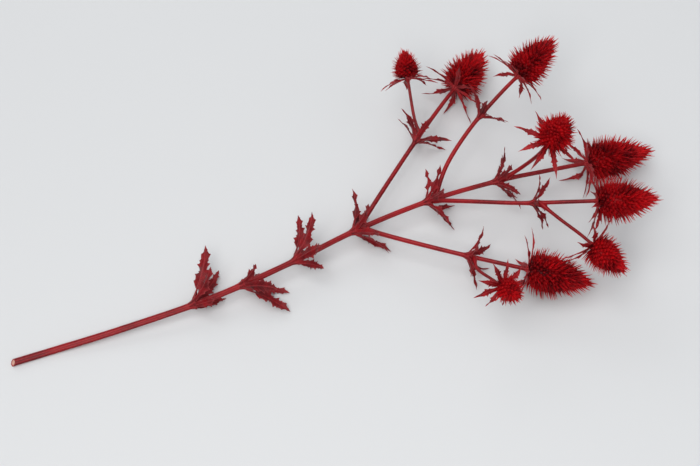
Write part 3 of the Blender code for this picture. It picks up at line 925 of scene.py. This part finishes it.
def cone_finish(dye, fibres):
    """Spines: dark and wine-red at the foot and low on the head, bright red towards tips and crown. The dark
    foot and low head are painted shade, the bright crown painted light, and the pale outer part of each spine
    a painted highlight along with faded dye.
    """
    finish, tree, shader, marks, place = start_finish("dyed_cone_spines", 0.42, 0.12)
    own_tone = times(tree, math_node(tree, "SUBTRACT", marks["tone"], 0.5), 0.5)
    # Painted shade and light: darker towards each spine's foot, deep among the florets, and low on the head;
    # brighter towards the crown, where the light falls. own_tone is each spine's own tone.
    richness = plus(tree, times(tree, marks["along"], 0.75), times(tree, marks["height"], 0.42))
    richness = plus(tree, richness, own_tone, clamp=True)
    # Painted highlight along with faded dye: each spine paler over its outer part, towards the tip.
    fade_and_highlight = ramp(tree, marks["along"], 0.55, 1.0, 0.0, 0.40)
    colour = use_group(tree, dye, {
        "Place": place, "Richness": richness, "Fading": fade_and_highlight, "Patches": 55.0, "Specks": 1200.0,
        **CONE_DYE,
    })["Colour"]
    tree.links.new(colour, shader.inputs["Base Color"])
    grain = use_group(tree, fibres, {
        "Place": place, "Along": marks["along"], "Across": marks["across"], "Streaks": 6.0, "Cells": 2400.0,
    })
    relief(tree, shader, grain["Height"], 0.0003, 0.75)
    tree.links.new(ramp(tree, grain["Streak"], 0.3, 0.7, 0.34, 0.55), shader.inputs["Roughness"])
    return finish


def blade_finish(name, dye, veins, fibres, colours, edge_fade_and_highlight, pairs):
    """Leaf and bract tissue: satin, deeper between the veins, paler at teeth, edges and rib. The pale teeth,
    edges and tip are faded dye along with a painted highlight.
    """
    finish, tree, shader, marks, place = start_finish(name, 0.45)
    vein = use_group(tree, veins, {"Along": marks["along"], "Across": marks["across"], "Pairs": pairs})
    # Painted highlight along with faded dye: the edges, teeth and tip are paled; the rib and veins are paler
    # in their own colour.
    at_edge = math_node(tree, "POWER", marks["height"], 5.0)
    at_tip = ramp(tree, marks["along"], 0.6, 1.0, 0.0, 0.5)
    wear_and_highlight = math_node(tree, "MAXIMUM", at_edge, at_tip)
    wear_and_highlight = math_node(tree, "MAXIMUM", wear_and_highlight, times(tree, vein["Mask"], 0.8))
    fade_and_highlight = times(tree, wear_and_highlight, edge_fade_and_highlight)
    richness = plus(tree, times(tree, marks["tone"], 0.5), 0.3)
    richness = plus(tree, richness, times(tree, vein["Mask"], 0.3), clamp=True)
    colour = use_group(tree, dye, {
        "Place": place, "Richness": richness, "Fading": fade_and_highlight, "Patches": 110.0, "Specks": 1500.0,
        **colours,
    })["Colour"]
    tree.links.new(colour, shader.inputs["Base Color"])
    grain = use_group(tree, fibres, {
        "Place": place, "Along": marks["along"], "Across": marks["across"], "Streaks": 34.0, "Cells": 2200.0,
    })
    height = plus(tree, times(tree, vein["Height"], 0.65), times(tree, grain["Height"], 0.5))
    relief(tree, shader, height, 0.0003, 0.7)
    tree.links.new(ramp(tree, grain["Height"], 0.3, 0.7, 0.36, 0.58), shader.inputs["Roughness"])
    return finish


def stem_finish(dye, fibres):
    """Stem skin: satin with pale ridges and dark grooves, and a pale pith where the stem is cut."""
    finish, tree, shader, marks, place = start_finish("dyed_stem_skin", 0.38)
    grain = use_group(tree, fibres, {
        "Place": place, "Along": times(tree, marks["along"], 14.0), "Across": marks["across"],
        "Streaks": 42.0, "Cells": 1900.0,
    })
    richness = plus(tree, times(tree, marks["height"], 0.30), times(tree, grain["Streak"], 0.95), clamp=True)
    fade_and_highlight = times(tree, math_node(tree, "POWER", marks["height"], 2.0), 0.40)
    skin = use_group(tree, dye, {
        "Place": place, "Richness": richness, "Fading": fade_and_highlight, "Patches": 28.0, "Specks": 420.0,
        **STEM_DYE,
    })["Colour"]
    is_cut = ramp(tree, marks["tone"], 0.7, 0.9)
    pith = colour_mix(tree, ramp(tree, marks["across"], 0.45, 0.85), PITH, CUT_RIM)
    tree.links.new(colour_mix(tree, is_cut, skin, pith), shader.inputs["Base Color"])
    relief(tree, shader, grain["Height"], 0.0003, 0.55)
    tree.links.new(ramp(tree, grain["Height"], 0.3, 0.7, 0.30, 0.50), shader.inputs["Roughness"])
    shader.inputs["Coat Weight"].default_value = 0.10
    shader.inputs["Coat Roughness"].default_value = 0.35
    return finish


def make_finishes():
    dye, veins, fibres = uneven_dye_group(), vein_group(), fibre_group()
    return {
        "cone": cone_finish(dye, fibres),
        "leaf": blade_finish("dyed_leaf_blade", dye, veins, fibres, LEAF_DYE, 0.70, 11.0),
        "bract": blade_finish("dyed_bract_blade", dye, veins, fibres, BRACT_DYE, 0.80, 9.0),
        "stem": stem_finish(dye, fibres),
    }


# The whole stem.


def grow_everything():
    paths, radii = {}, {}
    for shoot in SHOOTS:
        start = [paths[shoot.parent].point(shoot.at)] if shoot.parent else []
        path = Path([*start, *shoot.points])
        paths[shoot.name] = path
        joints = [whorl.at for whorl in WHORLS if whorl.shoot == shoot.name]
        parent_radius = radii[shoot.parent] if shoot.parent else 0
        radii[shoot.name] = shoot.radii[0]
        hold(grow_shoot(shoot, path, joints, parent_radius), shoot.name)
        end = TO_MIDDLE @ path.frame(1)
        stalk_radius = shoot_radius(shoot, path, joints, 1)
        hold(grow_cone(shoot.cone, end, stalk_radius), shoot.cone.name)
        ruff = shoot.cone.name.replace("cone_head", "bract_ruff")
        seat = end @ Matrix.Translation((0, 0, -RUFF_BELOW_CONE))

        def bract(index, azimuth, start, ruff=ruff, seat=seat, shoot=shoot):
            return Lobe(
                ruff, index, azimuth, seat, start, shoot.cone.ruff_length,
                RUFF_HALF_WIDTH, RUFF_LIFT, RUFF_LEVELLED,
            )

        def stalk_skin(height, path=path, shoot=shoot, joints=joints):
            return shoot_radius(shoot, path, joints, 1 + (height - RUFF_BELOW_CONE) / path.length)

        star = grow_star(
            f"{ruff}_blades", seat, stalk_skin, RUFF_LOBES, range(RUFF_LOBES), bract,
            1, BRACT_THICKNESS, BRACT_WAVE, "bract",
        )
        hold(star, ruff)
        for whorl in (w for w in WHORLS if w.shoot == shoot.name):
            grow_whorl(whorl, shoot, path, joints)


def grow_whorl(whorl, shoot, path, joints):
    """A whorl of lobes round a joint, or a broad leaf with its outer lobes shorter."""
    seat = TO_MIDDLE @ path.frame(whorl.at) @ Matrix.Rotation(whorl.turn, 4, "Z")
    is_leaf = len(whorl.lobes) < whorl.sides

    def leaf_lobe(index, azimuth, start):
        from_middle = abs(whorl.lobes.index(index) - len(whorl.lobes) // 2) if is_leaf else 0
        size = LOBE_SHARES_FROM_MIDDLE[from_middle]
        half_width = whorl.half_width * size**0.7
        return Lobe(
            whorl.name, index, azimuth, seat, start, whorl.length * size,
            half_width, whorl.lift, whorl.levelled,
        )

    def skin_radius(height):
        return shoot_radius(shoot, path, joints, whorl.at + height / path.length)

    star = grow_star(
        f"{whorl.name}_blades", seat, skin_radius, whorl.sides, whorl.lobes,
        leaf_lobe, whorl.teeth, LEAF_THICKNESS, LEAF_WAVE, "leaf",
    )
    hold(star, whorl.name)


def hold(piece, node):
    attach(piece, "root")
    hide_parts(node)


# The studio.


def lay_floor():
    bpy.ops.mesh.primitive_plane_add(size=9, location=(0, 0, 0))
    floor = bpy.context.object
    floor.name = "pale_floor"
    finish = bpy.data.materials.new("pale_floor")
    finish.use_nodes = True
    shader = finish.node_tree.nodes["Principled BSDF"]
    shader.inputs["Base Color"].default_value = (0.62, 0.629, 0.638, 1)
    shader.inputs["Roughness"].default_value = 0.75
    floor.data.materials.append(finish)


def soft_light(name, place, aim, size, power, colour=(1, 1, 1)):
    data = bpy.data.lights.new(name, "AREA")
    data.shape = "RECTANGLE"
    data.size, data.size_y = size
    data.energy = power
    data.color = colour
    lamp = bpy.data.objects.new(name, data)
    lamp.location = place
    lamp.rotation_euler = (Vector(place) - Vector(aim)).to_track_quat("Z", "Y").to_euler()
    bpy.context.scene.collection.objects.link(lamp)


def even_light(name, place, aim, strength, spread):
    """A far, wide soft light that falls evenly on the whole floor."""
    data = bpy.data.lights.new(name, "SUN")
    data.energy = strength
    data.angle = math.radians(spread)
    lamp = bpy.data.objects.new(name, data)
    lamp.location = place
    lamp.rotation_euler = (Vector(place) - Vector(aim)).to_track_quat("Z", "Y").to_euler()
    bpy.context.scene.collection.objects.link(lamp)


def light_studio():
    world = bpy.data.worlds.new("studio")
    world.use_nodes = True
    background = world.node_tree.nodes["Background"]
    background.inputs["Color"].default_value = (0.95, 0.97, 1.0, 1)
    background.inputs["Strength"].default_value = 0.42
    bpy.context.scene.world = world
    even_light("overhead_light", (-0.4, 0.1, 1.5), (0, 0, 0), 1.15, 50)
    soft_light("key_light", (-0.55, -0.75, 1.35), (0.05, 0, 0), (0.8, 0.8), 11, (1.0, 0.985, 0.965))
    soft_light("fill_light", (1.1, -0.5, 1.0), (0.1, 0, 0), (1.2, 1.0), 2, (0.95, 0.97, 1.0))
    soft_light("back_light", (0.2, 1.3, 0.9), (0.1, 0, 0), (1.4, 0.6), 4, (1.0, 1.0, 1.0))


def place_camera():
    data = bpy.data.cameras.new("camera")
    data.lens = 85
    data.sensor_width = 36
    camera = bpy.data.objects.new("camera", data)
    bpy.context.scene.collection.objects.link(camera)
    aim = Vector((0.012, 0.0, 0.02))
    azimuth = math.radians(-22)
    elevation = math.radians(58)
    distance = 1.46
    outward = Vector((
        math.cos(elevation) * math.sin(azimuth), -math.cos(elevation) * math.cos(azimuth), math.sin(elevation)
    ))
    camera.location = aim + outward * distance
    camera.rotation_euler = outward.to_track_quat("Z", "Y").to_euler()
    bpy.context.scene.camera = camera


FINISHES = make_finishes()
grow_everything()
lay_floor()
light_studio()
place_camera()
bpy.context.scene.view_settings.view_transform = "Standard"

bpy.context.view_layer.update()
